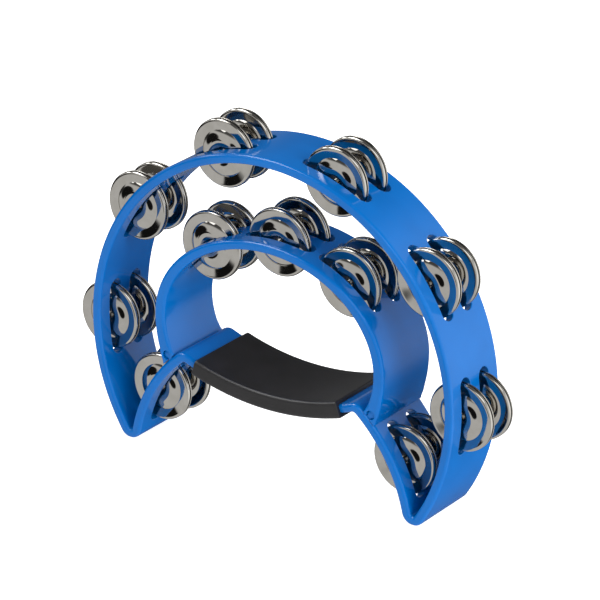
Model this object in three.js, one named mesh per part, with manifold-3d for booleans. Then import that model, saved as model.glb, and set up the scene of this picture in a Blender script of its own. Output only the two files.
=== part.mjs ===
// Half-moon tambourine with a second, smaller arch of jingles inside it.
//
// A moulded frame runs as one band round the outer arc, turns over at two rounded feet,
// climbs inwards as two legs and closes as a hollow-curved handle bar. A separate arch
// snaps over a bead on each shoulder of the frame. Each station on the band, the legs and
// the arch has two slots side by side in depth, and one steel pin crosses both. Every slot
// holds a pair of cupped steel jingles that face each other and slide on the pin.
//
// Millimetres, +Z up, Y is depth with the front at -Y. The origin is on the floor, under
// the middle of the frame.

import * as THREE from 'three';
import { mergeVertices } from 'three/addons/utils/BufferGeometryUtils.js';
import Module from 'manifold-3d';

const wasm = await Module();
wasm.setup();

// Frame: the band, the legs and the handle bar lie on circles whose centres share an upright
// axis. The legs' circle is smaller than the hoop by the inset, and its top would stand at the
// legs' rise over the centre of the hoop.
const frameDepth = 50;
const hoopRadius = 133;
const hoopWall = 6.2;
const legInset = 26.8;
const legRise = 15.8;
const legWall = 6.2;
const footRadius = 8;
const soleWidth = 3;
const barRadius = 172;
const barThickness = 5.5;
const barDrop = 21.7;
const crotchFillet = 1.6;
const shoulderFillet = 7;
const underFillet = 3;
const rimEdge = 1.3;

// Inner arch: half-ellipses above its widest line, and deeper ones below it that come in to the
// beads. The room is the air between it and the band at the crown, and the overhang is how far
// its sides stand out over its feet.
const archRise = 13.5;
const crownRoom = 48;
const archOverhang = 5.3;
const archSideWall = 7.7;
const archCrownWall = 5.9;
const archFootWall = 10.3;
const archSweepAngle = 45;

// Snap bead on each shoulder, its distance down the leg from the shoulder's fillet, and the
// clearance wherever two pieces seat.
const beadRadius = 2.6;
const beadRise = 3;
const beadNeck = 3.2;
const beadSetback = 7.4;
const seatClearance = 0.3;

// Pins and stations. Those of the hoop are an angle apart, in degrees, those of the arch are a
// web apart, and that of a leg is at a share of the way from its shoulder to its foot.
const pinRadius = 1.5;
const pinCover = 3.2;
const pinRecess = 0.6;
const hoopStationAngle = 36.5;
const hoopStationCount = 6;
const archStationCount = 3;
const archStationWeb = 3.8;
const legStationShare = 0.573;

// Jingle: a cupped disc of thin steel sheet with a turned edge.
const jingleRadius = 21.75;
const jinglePlay = 0.45;
const jingleSheet = 0.8;
const jingleEdge = 1.1;
const cupRadius = 14.2;
const crestRadius = 8;
const crestHeight = 2.2;
const hubHeight = 1.3;
const flangeHeight = 0.45;
const jingleGap = 1.4;
const jingleTravel = 1;

// Slots: long enough for a jingle to pass through, wide enough for a pair to slide, in two rows.
const slotEndRoom = 2.75;
const slotWeb = 9.5;
const slotLength = 2 * (jingleRadius + slotEndRoom);
const slotWidth = jingleGap + 2 * (crestHeight + jingleSheet + jingleTravel + seatClearance);
const rowPitch = slotWidth + slotWeb;

// Grip: a moulded sleeve of even wall that the bar passes through.
const gripLength = 109;
const gripWall = 2.3;
const gripEdge = 2.2;

// Facets: the turn of one facet on large arcs and small ones, in degrees, and counts.
const longFacetAngle = 7;
const shortFacetAngle = 30;
const pinFacets = 8;
const jingleFacets = 13;
const edgeSteps = 1;
const cutOverrun = 4;
const weldDistance = 0.01;

const turn = THREE.MathUtils.degToRad;

// Materials.
const blue = { color: 0x1766c8, roughness: 0.25, metalness: 0 };
const archBlue = { color: 0x2f6bc6, roughness: 0.25, metalness: 0 };
const black = { color: 0x242426, roughness: 0.8, metalness: 0 };
const nickel = { color: 0xc9c6be, roughness: 0.15, metalness: 1 };
const steel = { color: 0x9a9a98, roughness: 0.3, metalness: 1 };

function named(name, geometry, finish) {
  const mesh = new THREE.Mesh(geometry, new THREE.MeshStandardMaterial(finish));
  mesh.name = name;
  return mesh;
}

// Booleans: a closed geometry becomes a solid, and a solid becomes a geometry again.
function solid(geometry) {
  const bare = geometry.clone();
  bare.deleteAttribute('normal');
  bare.deleteAttribute('uv');
  const merged = mergeVertices(bare);
  return new wasm.Manifold(new wasm.Mesh({
    numProp: 3,
    vertProperties: new Float32Array(merged.attributes.position.array),
    triVerts: new Uint32Array(merged.index.array),
  }));
}

function toGeometry(manifold) {
  const mesh = manifold.getMesh();
  const geometry = new THREE.BufferGeometry();
  geometry.setAttribute('position', new THREE.BufferAttribute(mesh.vertProperties, 3));
  geometry.setIndex(new THREE.BufferAttribute(mesh.triVerts, 1));
  const flat = geometry.toNonIndexed();
  flat.computeVertexNormals();
  return flat;
}

// Plane drawing: x across, y up. Angles are in radians from +x, as atan2 gives them.
const bearing = (from, to) => Math.atan2(to.y - from.y, to.x - from.x);
const onAxis = (height) => new THREE.Vector2(0, height);

// Where two circles centred on the upright axis meet, on the right-hand side.
function meet(centreA, radiusA, centreB, radiusB) {
  const rise = centreB.y - centreA.y;
  const up = (radiusA ** 2 - radiusB ** 2 + rise ** 2) / (2 * rise);
  return new THREE.Vector2(Math.sqrt(radiusA ** 2 - up ** 2), centreA.y + up);
}

function arc(centre, radius, from, to, facet) {
  const steps = Math.max(1, Math.round(Math.abs(to - from) / turn(facet)));
  return Array.from({ length: steps + 1 }, (_, i) => {
    const angle = from + ((to - from) * i) / steps;
    return new THREE.Vector2(Math.cos(angle), Math.sin(angle)).multiplyScalar(radius).add(centre);
  });
}

// A closed outline from its right half, which starts and ends on the upright axis.
function mirrored(rightHalf) {
  const left = rightHalf.slice(1, -1).reverse().map((p) => new THREE.Vector2(-p.x, p.y));
  const all = [...rightHalf, ...left];
  return all.filter((p, i) => p.distanceTo(all[(i + 1) % all.length]) > weldDistance);
}

// The circles' centres, measured from the centre of the hoop.
const legRadius = hoopRadius - legInset;
const hoopCentre = onAxis(0);
const legCentre = onAxis(legRise - legRadius);
const barCentre = onAxis(barRadius - barDrop);

// How far a point leans from upright, seen from the centre of the legs' circle.
const legLean = (point) => Math.PI / 2 - bearing(legCentre, point);

// The two sides of the frame's wall, as the radii that their outlines go round.
const outerSide = {
  hoop: hoopRadius,
  tip: footRadius,
  leg: legRadius - legWall,
  corner: underFillet,
  bar: barRadius + barThickness / 2,
  sole: soleWidth,
};
const innerSide = {
  hoop: hoopRadius - hoopWall,
  tip: crotchFillet,
  leg: legRadius,
  corner: shoulderFillet,
  bar: barRadius - barThickness / 2,
  sole: 0,
};
const tipOf = ({ hoop, tip, leg }) => meet(hoopCentre, hoop - tip, legCentre, leg + tip);
const cornerOf = ({ leg, corner, bar }) => meet(legCentre, leg - corner, barCentre, bar + corner);

// Half of a side: down the hoop, round a tip, up the leg, round a corner, along the bar.
function ringHalf(side) {
  const { hoop, tip, leg, corner, bar, sole } = side;
  const tipCentre = tipOf(side);
  const cornerCentre = cornerOf(side);
  const down = -Math.PI / 2;
  const halfSole = Math.asin(sole / 2 / tip);
  const towardsLeg = bearing(tipCentre, legCentre);
  return [
    ...arc(hoopCentre, hoop, Math.PI / 2, bearing(hoopCentre, tipCentre), longFacetAngle),
    ...arc(tipCentre, tip, bearing(hoopCentre, tipCentre), down + halfSole, shortFacetAngle),
    ...arc(tipCentre, tip, down - halfSole, towardsLeg, shortFacetAngle),
    ...arc(legCentre, leg, bearing(legCentre, tipCentre), bearing(legCentre, cornerCentre), longFacetAngle),
    ...arc(cornerCentre, corner, bearing(legCentre, cornerCentre), bearing(cornerCentre, barCentre), shortFacetAngle),
    ...arc(barCentre, bar, bearing(barCentre, cornerCentre), down, longFacetAngle),
  ];
}

// An outline becomes a slab that is centred in depth, with its front and back edges eased.
function slab(shape, depth, edge = 0) {
  const geometry = new THREE.ExtrudeGeometry(shape, {
    depth: depth - 2 * edge,
    bevelEnabled: edge > 0,
    bevelThickness: edge,
    bevelSize: edge,
    bevelOffset: -edge,
    bevelSegments: edgeSteps,
  });
  geometry.translate(0, 0, edge - depth / 2);
  return geometry.rotateX(Math.PI / 2);
}

// The bead stands off the leg on a circle of its own, set back from the shoulder's fillet.
const beadCircle = legRadius + beadRise;
const beadLean = legLean(cornerOf(innerSide)) + beadSetback / beadCircle;

// A spot on the arch's foot, at a distance beyond the middle of the bead along its circle.
function footSpot(beyond) {
  const lean = beadLean + beyond / beadCircle;
  return new THREE.Vector2(Math.sin(lean), Math.cos(lean)).multiplyScalar(beadCircle).add(legCentre);
}

// The arch's outer half-width, and its height over its widest line.
const archWidth = footSpot(archFootWall / 2).x + archOverhang;
const archHeight = hoopRadius - hoopWall - crownRoom - archRise;

// Stations: where a pin crosses a wall, and how far its wall leans from level.
function hoopStation(index) {
  const lean = turn((index - (hoopStationCount - 1) / 2) * hoopStationAngle);
  const radius = hoopRadius - hoopWall / 2;
  return { name: `rim_${index + 1}`, x: radius * Math.sin(lean), z: radius * Math.cos(lean), lean };
}

function legStation(side) {
  const shoulder = legLean(cornerOf(outerSide));
  const foot = legLean(tipOf(outerSide));
  const lean = side * (shoulder + (foot - shoulder) * legStationShare);
  const radius = legRadius - legWall / 2;
  const name = side < 0 ? 'leg_left' : 'leg_right';
  return { name, x: radius * Math.sin(lean), z: legCentre.y + radius * Math.cos(lean), lean };
}

// The stations of the arch lie along the middle of its wall, half of them on each side.
function archStation(index) {
  const middle = new THREE.EllipseCurve(
    0,
    archRise,
    archWidth - archSideWall / 2,
    archHeight - archCrownWall / 2,
    Math.PI,
    0,
    true,
  );
  const pitch = slotLength + archStationWeb;
  const share = 1 / 2 + ((index - (archStationCount - 1) / 2) * pitch) / middle.getLength();
  const spot = middle.getPointAt(share);
  const along = middle.getTangentAt(share);
  return { name: `arch_${index + 1}`, x: spot.x, z: spot.y, lean: Math.atan2(-along.y, along.x) };
}

const frameStations = [
  ...Array.from({ length: hoopStationCount }, (_, index) => hoopStation(index)),
  legStation(-1),
  legStation(1),
];
const archStations = Array.from({ length: archStationCount }, (_, index) => archStation(index));
const rows = [
  { name: 'front', y: -rowPitch / 2 },
  { name: 'rear', y: rowPitch / 2 },
];

// One stadium slot, cut straight through the wall at a station.
function slotCutter(station, row) {
  const half = (slotLength - slotWidth) / 2;
  const end = slotWidth / 2;
  const shape = new THREE.Shape([
    ...arc(new THREE.Vector2(half, 0), end, -Math.PI / 2, Math.PI / 2, shortFacetAngle),
    ...arc(new THREE.Vector2(-half, 0), end, Math.PI / 2, (3 * Math.PI) / 2, shortFacetAngle),
  ]);
  const reach = Math.max(hoopWall, legWall, archSideWall) + cutOverrun;
  const cutter = new THREE.ExtrudeGeometry(shape, { depth: 2 * reach, bevelEnabled: false });
  cutter.translate(0, 0, -reach).rotateY(station.lean).translate(station.x, row.y, station.z);
  return solid(cutter);
}

const pinFront = -frameDepth / 2 + pinCover;
const pinBack = frameDepth / 2 - pinRecess;

function pinGeometry(radius, front, back) {
  const geometry = new THREE.CylinderGeometry(radius, radius, back - front, pinFacets);
  return geometry.translate(0, (front + back) / 2, 0);
}

// The blind hole that a pin goes into, drilled from the back.
function pinDrill(station) {
  const front = pinFront - seatClearance;
  const drill = pinGeometry(pinRadius + seatClearance, front, frameDepth / 2 + cutOverrun);
  return solid(drill.translate(station.x, 0, station.z));
}

function cutStations(body, stations) {
  let result = body;
  for (const station of stations) {
    for (const row of rows) result = result.subtract(slotCutter(station, row));
    result = result.subtract(pinDrill(station));
  }
  return result;
}

// Half of a line round the arch, from its crown down past the shoulder. Below the widest line
// its half-height makes it cross the beads' circle at the given distance beyond the bead.
function archEdge(width, height, beyond) {
  const foot = footSpot(beyond);
  const depth = (archRise - foot.y) / Math.sqrt(1 - (foot.x / width) ** 2);
  const crown = arc(onAxis(0), 1, Math.PI / 2, 0, longFacetAngle);
  const side = arc(onAxis(0), 1, 0, -turn(archSweepAngle), longFacetAngle).slice(1);
  return [
    ...crown.map((p) => new THREE.Vector2(width * p.x, archRise + height * p.y)),
    ...side.map((p) => new THREE.Vector2(width * p.x, archRise + depth * p.y)),
  ];
}

// Snap bead: a round rail on a neck that stands on the shoulder, grown by a clearance for its socket.
function beadGeometry(side, growth, depth) {
  const radius = beadRadius + growth;
  const neck = beadNeck / 2 + growth;
  const root = -beadRise - legWall / 2;
  const open = Math.asin(neck / radius);
  const down = -Math.PI / 2;
  const shape = new THREE.Shape([
    new THREE.Vector2(-neck, root),
    new THREE.Vector2(neck, root),
    ...arc(onAxis(0), radius, down + open, down - open + 2 * Math.PI, shortFacetAngle),
  ]);
  const geometry = slab(shape, depth).rotateY(side * beadLean);
  const spot = footSpot(0);
  return geometry.translate(side * spot.x, 0, spot.y);
}

function frameGeometry() {
  const outline = new THREE.Shape(mirrored(ringHalf(outerSide)));
  outline.holes.push(new THREE.Path(mirrored(ringHalf(innerSide)).reverse()));
  let body = cutStations(solid(slab(outline, frameDepth, rimEdge)), frameStations);
  for (const side of [-1, 1]) body = body.add(solid(beadGeometry(side, 0, frameDepth - 2 * rimEdge)));
  return toGeometry(body);
}

function archGeometry() {
  const outer = archEdge(archWidth, archHeight, archFootWall / 2);
  const inner = archEdge(archWidth - archSideWall, archHeight - archCrownWall, -archFootWall / 2);
  const right = [...outer, ...inner.reverse()];
  const left = right.slice(1, -1).reverse().map((p) => new THREE.Vector2(-p.x, p.y));
  const outline = new THREE.Shape([...right, ...left]);
  const seat = new THREE.Shape(arc(legCentre, legRadius + seatClearance, 0, 2 * Math.PI, longFacetAngle / 2).slice(1));
  let body = cutStations(solid(slab(outline, frameDepth, rimEdge)), archStations);
  body = body.subtract(solid(slab(seat, frameDepth + 2 * cutOverrun)));
  for (const side of [-1, 1]) {
    body = body.subtract(solid(beadGeometry(side, seatClearance, frameDepth + 2 * cutOverrun)));
  }
  return toGeometry(body);
}

// A length of the bar's arc as a slab: the grip, and the space for the bar inside it.
function barSector(length, thickness, depth, edge) {
  const half = length / 2 / barRadius;
  const down = -Math.PI / 2;
  const shape = new THREE.Shape([
    ...arc(barCentre, barRadius + thickness / 2, down - half, down + half, longFacetAngle),
    ...arc(barCentre, barRadius - thickness / 2, down + half, down - half, longFacetAngle),
  ]);
  return slab(shape, depth, edge);
}

function gripGeometry() {
  const boreThickness = barThickness + 2 * seatClearance;
  const boreDepth = frameDepth + 2 * seatClearance;
  const sleeve = barSector(gripLength, boreThickness + 2 * gripWall, boreDepth + 2 * gripWall, gripEdge);
  const bore = barSector(gripLength + 2 * cutOverrun, boreThickness, boreDepth, 0);
  return toGeometry(solid(sleeve).subtract(solid(bore)));
}

// The section of a jingle, from the hole out along its domed face and back along its cupped
// face. Heights are measured from the plane of its edge.
function jingleGeometry() {
  const hole = pinRadius + jinglePlay;
  const section = [
    [hole, hubHeight],
    [hole, hubHeight + jingleSheet],
    [crestRadius, crestHeight + jingleSheet],
    [cupRadius, flangeHeight + jingleSheet],
    [jingleRadius, jingleEdge],
    [jingleRadius, 0],
    [cupRadius, flangeHeight],
    [crestRadius, crestHeight],
    [hole, hubHeight],
  ];
  const points = section.map(([radius, height]) => new THREE.Vector2(radius, height)).reverse();
  return new THREE.LatheGeometry(points, jingleFacets);
}

// Assembly, measured from the centre of the hoop, then lifted to stand on its two feet.
const hoopHeight = Math.sqrt(footRadius ** 2 - (soleWidth / 2) ** 2) - tipOf(outerSide).y;

const tambourine = new THREE.Group();
tambourine.name = 'tambourine';
tambourine.position.z = hoopHeight;
tambourine.add(named('frame', frameGeometry(), blue));
tambourine.add(named('inner_arch', archGeometry(), archBlue));
tambourine.add(named('grip', gripGeometry(), black));

for (const station of [...frameStations, ...archStations]) {
  const stand = new THREE.Group();
  stand.position.set(station.x, 0, station.z);
  stand.add(named(`pin_${station.name}`, pinGeometry(pinRadius, pinFront, pinBack), steel));
  for (const row of rows) {
    for (const [face, way] of [['fore', -1], ['aft', 1]]) {
      const jingle = named(`jingle_${station.name}_${row.name}_${face}`, jingleGeometry(), nickel);
      jingle.position.y = row.y + (way * jingleGap) / 2;
      jingle.rotation.x = way < 0 ? Math.PI : 0;
      stand.add(jingle);
    }
  }
  tambourine.add(stand);
}

export default tambourine;
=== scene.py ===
"""Half-moon tambourine: the finished look of the moulded band, arch, grip, pins and jingles.

Lengths in this file are millimetres and become metres where a mesh is made. The drawing plane
has x across and z up from the centre of the hoop. Turns are angles in radians from upright
that grow towards +x, so a point at a turn on a circle is (radius sin turn, radius cos turn).
"""

import logging
import math
from abc import ABC, abstractmethod
from dataclasses import dataclass, field
from enum import Enum
from functools import cache

import bmesh
import bpy
import numpy as np
from mathutils import Matrix, Vector


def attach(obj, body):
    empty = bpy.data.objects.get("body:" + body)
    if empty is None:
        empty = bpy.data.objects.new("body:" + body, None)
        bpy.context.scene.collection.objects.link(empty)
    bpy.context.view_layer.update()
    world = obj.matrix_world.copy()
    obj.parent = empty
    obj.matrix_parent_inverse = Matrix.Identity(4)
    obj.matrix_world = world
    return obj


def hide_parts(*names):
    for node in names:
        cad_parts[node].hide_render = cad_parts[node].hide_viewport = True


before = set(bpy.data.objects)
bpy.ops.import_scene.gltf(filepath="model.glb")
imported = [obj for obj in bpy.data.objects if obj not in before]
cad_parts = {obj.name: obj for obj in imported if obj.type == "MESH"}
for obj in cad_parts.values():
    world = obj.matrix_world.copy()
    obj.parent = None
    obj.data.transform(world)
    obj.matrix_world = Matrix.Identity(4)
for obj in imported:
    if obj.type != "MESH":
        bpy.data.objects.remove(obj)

MM = 0.001
WELD_MM = 0.002
LEVEL_MM = 0.01
CUT_SAMPLES = 4001
FINE_SAMPLES = 20001
Array = np.ndarray
Point = tuple[float, float]
log = logging.getLogger("tambourine")


def linear(hex_colour: str) -> tuple[float, float, float, float]:
    """Turns an sRGB hex colour into the linear colour that shaders take.

    Args:
        hex_colour: the colour as #RRGGBB.

    Returns:
        Red, green, blue and an alpha of 1.
    """
    channels = [int(hex_colour[i:i + 2], 16) / 255 for i in (1, 3, 5)]
    curve = [c / 12.92 if c <= 0.04045 else ((c + 0.055) / 1.055) ** 2.4 for c in channels]
    return (curve[0], curve[1], curve[2], 1.0)


def turn_to(start: Point, end: Point) -> float:
    """Gives the turn of the line from one point of the drawing to another."""
    return math.atan2(end[0] - start[0], end[1] - start[1])


def meet(height_a: float, radius_a: float, height_b: float, radius_b: float) -> Point:
    """Finds where two circles centred on the upright axis cross, on the right-hand side.

    Args:
        height_a: height of the first centre.
        radius_a: radius of the first circle.
        height_b: height of the second centre.
        radius_b: radius of the second circle.

    Returns:
        The crossing in the drawing plane.
    """
    rise = height_b - height_a
    up = (radius_a ** 2 - radius_b ** 2 + rise ** 2) / (2 * rise)
    return (math.sqrt(radius_a ** 2 - up ** 2), height_a + up)


def quarter(segments: int) -> tuple[Array, Array]:
    """Gives 1 - cos a and 1 - sin a for even steps of an angle a over a quarter turn."""
    angle = np.linspace(0, math.pi / 2, segments + 1)
    return 1 - np.cos(angle), 1 - np.sin(angle)


def all_round(segments: int, first: float = 0.0) -> Array:
    """Gives the points (cos a, sin a) of a full turn from a first angle, in shape (n, 2)."""
    angle = first + np.linspace(0, 2 * math.pi, segments, endpoint=False)
    return np.stack([np.cos(angle), np.sin(angle)], -1)


@dataclass(frozen=True)
class Arc:
    """Part of a circle or an upright ellipse in the drawing plane, from one turn to another."""

    x: float
    z: float
    width: float
    height: float
    start: float
    end: float

    def at(self, turns: Array) -> Array:
        """Gives the points (x + width sin turn, z + height cos turn)."""
        x, z = self.x + self.width * np.sin(turns), self.z + self.height * np.cos(turns)
        return np.stack([x, z], axis=-1)

    def line(
        self, spacing: float, least: int = 1, start: float | None = None, end: float | None = None
    ) -> Array:
        """Samples the arc, or a part of it, in even turns.

        Args:
            spacing: the greatest distance between points.
            least: the fewest segments.
            start: the first turn, where it isn't the arc's.
            end: the last turn, where it isn't the arc's.

        Returns:
            Points of shape (n, 2).
        """
        first = self.start if start is None else start
        last = self.end if end is None else end
        length = abs(last - first) * max(self.width, self.height)
        return self.at(np.linspace(first, last, max(least, math.ceil(length / spacing)) + 1))

    def mirrored(self) -> "Arc":
        """Gives the arc's mirror image, run the other way so that an outline goes on along it."""
        return Arc(-self.x, self.z, self.width, self.height, -self.end, -self.start)


@dataclass(frozen=True)
class Station:
    """A place where a pin crosses a wall: its spot in the drawing and how far the wall leans."""

    name: str
    x: float
    z: float
    lean: float

    @property
    def spot(self) -> Array:
        """The place as one point of the drawing."""
        return np.array([self.x, self.z])

    def axes(self) -> tuple[Array, Array]:
        """Gives the wall's own directions.

        Returns:
            The direction along the wall and the one out of it.
        """
        along = np.array([math.cos(self.lean), -math.sin(self.lean)])
        out = np.array([math.sin(self.lean), math.cos(self.lean)])
        return along, out

    def across(self, points: Array) -> Array:
        """Gives how far points lie from the spot along the wall."""
        return (points - self.spot) @ self.axes()[0]

    def near(self, points: Array, reach: float) -> Array:
        """Tells which points lie less than a reach from the spot."""
        return np.linalg.norm(points - self.spot, axis=-1) < reach

    def place(self, across: Array, out: Array) -> Array:
        """Gives drawing points from distances along the wall and out of it."""
        along, outward = self.axes()
        return self.spot + across[..., None] * along + out[..., None] * outward

    def reach(self, arc: Arc, across: Array) -> Array:
        """Finds how far out of the spot an arc lies, at distances along the wall.

        The line spot + across along + w out meets the ellipse where a quadratic in w is zero,
        and the larger root is the near side of the wall.

        Args:
            arc: the arc of one face of the wall.
            across: distances along the wall.

        Returns:
            The distances w, in the shape of across.
        """
        out = self.axes()[1]
        start = self.place(across, np.zeros_like(across)) - np.array([arc.x, arc.z])
        scale = np.array([arc.width, arc.height])
        a = np.sum((out / scale) ** 2)
        b = np.sum(start * out / scale ** 2, axis=-1)
        c = np.sum((start / scale) ** 2, axis=-1) - 1
        return (-b + np.sqrt(b * b - a * c)) / a


@dataclass(frozen=True)
class Run:
    """A stretch of an outline. Where a station is given, its two slots cut the stretch.

    The solid is -1 where the material lies inside the arc and 1 where it lies outside it.
    """

    line: Array
    arc: Arc | None = None
    station: Station | None = None
    solid: int = 0


@dataclass
class Shell:
    """Grids of points that are welded into one closed mesh."""

    name: str
    points: list[Array] = field(default_factory=list)
    quads: list[Array] = field(default_factory=list)
    count: int = 0

    def add(
        self, plan: Array, depth: Array, close_rows: bool = False, close_columns: bool = False
    ) -> None:
        """Adds a grid of points and the quads between them.

        Args:
            plan: drawing points of shape (rows, columns, 2), or of one that spreads to it.
            depth: their depths y, of shape (rows, columns) or of one that spreads to it.
            close_rows: whether the last row joins the first.
            close_columns: whether the last column joins the first.
        """
        grid = np.stack(np.broadcast_arrays(plan[..., 0], depth, plan[..., 1]), -1)
        rows, columns = grid.shape[:2]
        index = np.arange(rows * columns).reshape(rows, columns) + self.count
        if close_rows:
            index = np.vstack([index, index[:1]])
        if close_columns:
            index = np.hstack([index, index[:, :1]])
        corners = [index[:-1, :-1], index[1:, :-1], index[1:, 1:], index[:-1, 1:]]
        self.quads.append(np.stack(corners, axis=-1).reshape(-1, 4))
        self.points.append(grid.reshape(-1, 3))
        self.count += rows * columns

    def build(
        self, lift: float, planes: tuple[float, ...] = (), crease: float = 40.0
    ) -> bpy.types.Object:
        """Makes the object: welds the grids, fills the open outlines and turns all faces out.

        Args:
            lift: height of the drawing's origin over the floor.
            planes: depths y whose open outlines are filled with a flat face.
            crease: the angle in degrees above which an edge is sharp.

        Returns:
            The object, at the origin, with its place in its mesh.
        """
        mesh = bpy.data.meshes.new(self.name)
        points = (np.concatenate(self.points) + np.array([0.0, 0.0, lift])) * MM
        mesh.from_pydata(points.tolist(), [], np.concatenate(self.quads).tolist())
        form = bmesh.new()
        form.from_mesh(mesh)
        bmesh.ops.remove_doubles(form, verts=form.verts, dist=WELD_MM * MM)
        for depth in planes:
            level = depth * MM
            open_edges = [edge for edge in form.edges if edge.is_boundary]
            rim = [
                e for e in open_edges if all(abs(v.co.y - level) < LEVEL_MM * MM for v in e.verts)]
            bmesh.ops.triangle_fill(form, use_beauty=True, edges=rim, normal=Vector((0, 1, 0)))
        bmesh.ops.recalc_face_normals(form, faces=form.faces)
        loose = sum(1 for e in form.edges if not e.is_manifold)
        form.to_mesh(mesh)
        form.free()
        mesh.shade_smooth()
        mesh.set_sharp_from_angle(angle=math.radians(crease))
        piece = bpy.data.objects.new(self.name, mesh)
        bpy.context.scene.collection.objects.link(piece)
        log.info("%s: %d faces, %d open edges", self.name, len(mesh.polygons), loose)
        return piece


def add_node(
    tree: bpy.types.NodeTree,
    kind: str,
    values: dict | None = None,
    links: dict | None = None,
    **settings: object,
) -> bpy.types.Node:
    """Adds one node to a tree.

    Args:
        tree: the material's or the world's node tree.
        kind: the node's type name.
        values: constants by the name of the input.
        links: output sockets by the name of the input that they feed.
        **settings: properties of the node itself.

    Returns:
        The new node.
    """
    node = tree.nodes.new(kind)
    for name, value in settings.items():
        setattr(node, name, value)
    for name, value in (values or {}).items():
        node.inputs[name].default_value = value
    for name, socket in (links or {}).items():
        tree.links.new(socket, node.inputs[name])
    return node


@dataclass(frozen=True)
class Noise:
    """A noise: how far its blots are across, and how many finer layers lie over them."""

    size_mm: float
    layers: float = 0.0


class Coat:
    """A node material in the making, laid out in the Object coordinates of its pieces."""

    def __init__(self, name: str) -> None:
        """Starts the material with an empty tree.

        Args:
            name: the material's name.
        """
        self.material = bpy.data.materials.new(name)
        self.material.use_nodes = True
        self.tree = self.material.node_tree
        self.tree.nodes.clear()
        self.place = add_node(self.tree, "ShaderNodeTexCoord").outputs["Object"]

    def noise(self, noise: Noise) -> bpy.types.NodeSocket:
        """Adds a noise, which runs from 0 to 1."""
        values = {"Scale": 1 / (noise.size_mm * MM), "Detail": noise.layers}
        return add_node(self.tree, "ShaderNodeTexNoise", values, {"Vector": self.place}).outputs[0]

    def tint(
        self, share: bpy.types.NodeSocket, span: tuple[float, float], colours: tuple[str, str]
    ) -> bpy.types.NodeSocket:
        """Turns a noise into a colour between two.

        Args:
            share: the noise.
            span: where on the noise the first colour ends and the second one begins.
            colours: the two colours, as #RRGGBB.

        Returns:
            The colour.
        """
        ramp = add_node(self.tree, "ShaderNodeValToRGB", links={"Fac": share})
        for stop, position, colour in zip(ramp.color_ramp.elements, span, colours):
            stop.position = position
            stop.color = linear(colour)
        return ramp.outputs["Color"]

    def spread(
        self, share: bpy.types.NodeSocket, span: tuple[float, float], ends: tuple[float, float]
    ) -> bpy.types.NodeSocket:
        """Turns a noise into a number between two.

        Args:
            share: the noise.
            span: the part of the noise that is spread out.
            ends: the numbers at the two ends of that part.

        Returns:
            The number.
        """
        values = {"From Min": span[0], "From Max": span[1], "To Min": ends[0], "To Max": ends[1]}
        spread = add_node(self.tree, "ShaderNodeMapRange", values, {"Value": share})
        return spread.outputs["Result"]

    def relief(
        self, share: bpy.types.NodeSocket, height_mm: float, strength: float = 1.0
    ) -> bpy.types.NodeSocket:
        """Turns a noise into the slopes of a relief of a height."""
        values = {"Strength": strength, "Distance": height_mm * MM}
        return add_node(self.tree, "ShaderNodeBump", values, {"Height": share}).outputs["Normal"]

    def finish(self, values: dict, links: dict) -> bpy.types.Material:
        """Adds the surface shader and the material's output.

        Args:
            values: the shader's constants by name.
            links: the sockets that feed its other inputs, by name.

        Returns:
            The finished material.
        """
        surface = add_node(self.tree, "ShaderNodeBsdfPrincipled", values, links)
        add_node(self.tree, "ShaderNodeOutputMaterial", links={"Surface": surface.outputs["BSDF"]})
        return self.material


@dataclass(frozen=True)
class GlossABS:
    """Injection-moulded ABS from a polished tool: a saturated body under a clean, soft gloss.

    The pigment is a little deeper in places a few centimetres apart. The tool's polish leaves
    long shallow waves in the gloss. Handling leaves hairlines, drawn here as marks far coarser
    than the real ones, which only change how sharp the gloss is. Dull is the roughness's range.
    """

    name: str = "moulded_blue_abs"
    colours: tuple[str, str] = ("#005AA3", "#0060AC")
    dull: tuple[float, float] = (0.0765, 0.1125)
    cloud: Noise = Noise(40.0, 2.0)
    cloud_span: tuple[float, float] = (0.35, 0.65)
    wave: Noise = Noise(9.0)
    wave_height_mm: float = 0.012
    mark: Noise = Noise(1.6, 4.0)
    mark_span: tuple[float, float] = (0.3, 0.75)
    mirror_share: float = 0.34

    @cache
    def material(self) -> bpy.types.Material:
        """Builds the material, once for all the pieces that share it.

        Returns:
            The node material.
        """
        coat = Coat(self.name)
        cloud, marks, waves = (coat.noise(noise) for noise in (self.cloud, self.mark, self.wave))
        return coat.finish(
            {"IOR": 1.5, "Specular IOR Level": self.mirror_share},
            {
                "Base Color": coat.tint(cloud, self.cloud_span, self.colours),
                "Roughness": coat.spread(marks, self.mark_span, self.dull),
                "Normal": coat.relief(waves, self.wave_height_mm),
            },
        )


@dataclass(frozen=True)
class MouldedRubber:
    """Compression-moulded black rubber: a matt sheen, greyer where a hand has worn it.

    The tool's sparked grain is about 0.2 mm. It is drawn coarser so that it shows.
    """

    name: str = "moulded_black_rubber"
    colours: tuple[str, str] = ("#131213", "#1C1A1C")
    dull: float = 0.45
    cloud: Noise = Noise(14.0, 3.0)
    cloud_span: tuple[float, float] = (0.3, 0.8)
    grain: Noise = Noise(0.7, 2.0)
    grain_height_mm: float = 0.05
    grain_strength: float = 0.6

    @cache
    def material(self) -> bpy.types.Material:
        """Builds the material, once for all the pieces that share it.

        Returns:
            The node material.
        """
        coat = Coat(self.name)
        cloud, grain = (coat.noise(noise) for noise in (self.cloud, self.grain))
        return coat.finish(
            {"Roughness": self.dull, "IOR": 1.5},
            {
                "Base Color": coat.tint(cloud, self.cloud_span, self.colours),
                "Normal": coat.relief(grain, self.grain_height_mm, self.grain_strength),
            },
        )


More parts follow.
